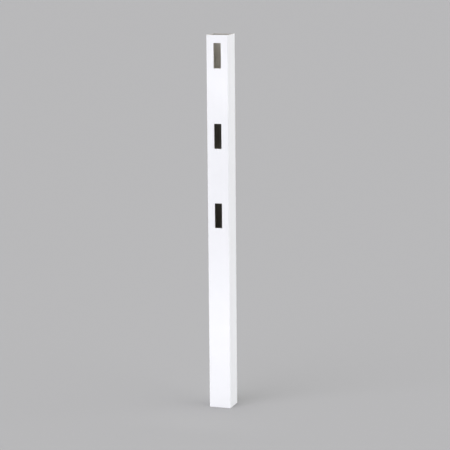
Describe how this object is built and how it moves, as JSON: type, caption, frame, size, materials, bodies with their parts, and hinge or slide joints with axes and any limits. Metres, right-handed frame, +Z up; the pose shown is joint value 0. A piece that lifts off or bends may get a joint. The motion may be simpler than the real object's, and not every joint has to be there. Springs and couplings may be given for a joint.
{
  "type": "vinyl fence post",
  "caption": "Square hollow vinyl fence post, open at both ends, with rectangular mortises routed through the upper part of its front wall to take the ends of flat fence rails.",
  "frame": {"origin": "middle of the tube's open bottom end, in the plane of its cut edge", "axes": "+Z up along the post, -Y the way the front with the mortises faces, +X to the right of the front as seen from before it"},
  "size_m": [0.127, 0.127, 2.1336],
  "materials": {
    "white_vinyl": "smooth extruded white rigid PVC with a low sheen, plain saw-cut ends and routed mortise edges"
  },
  "bodies": {
    "root": {"fence_post": "white_vinyl"}
  },
  "joints": []
}
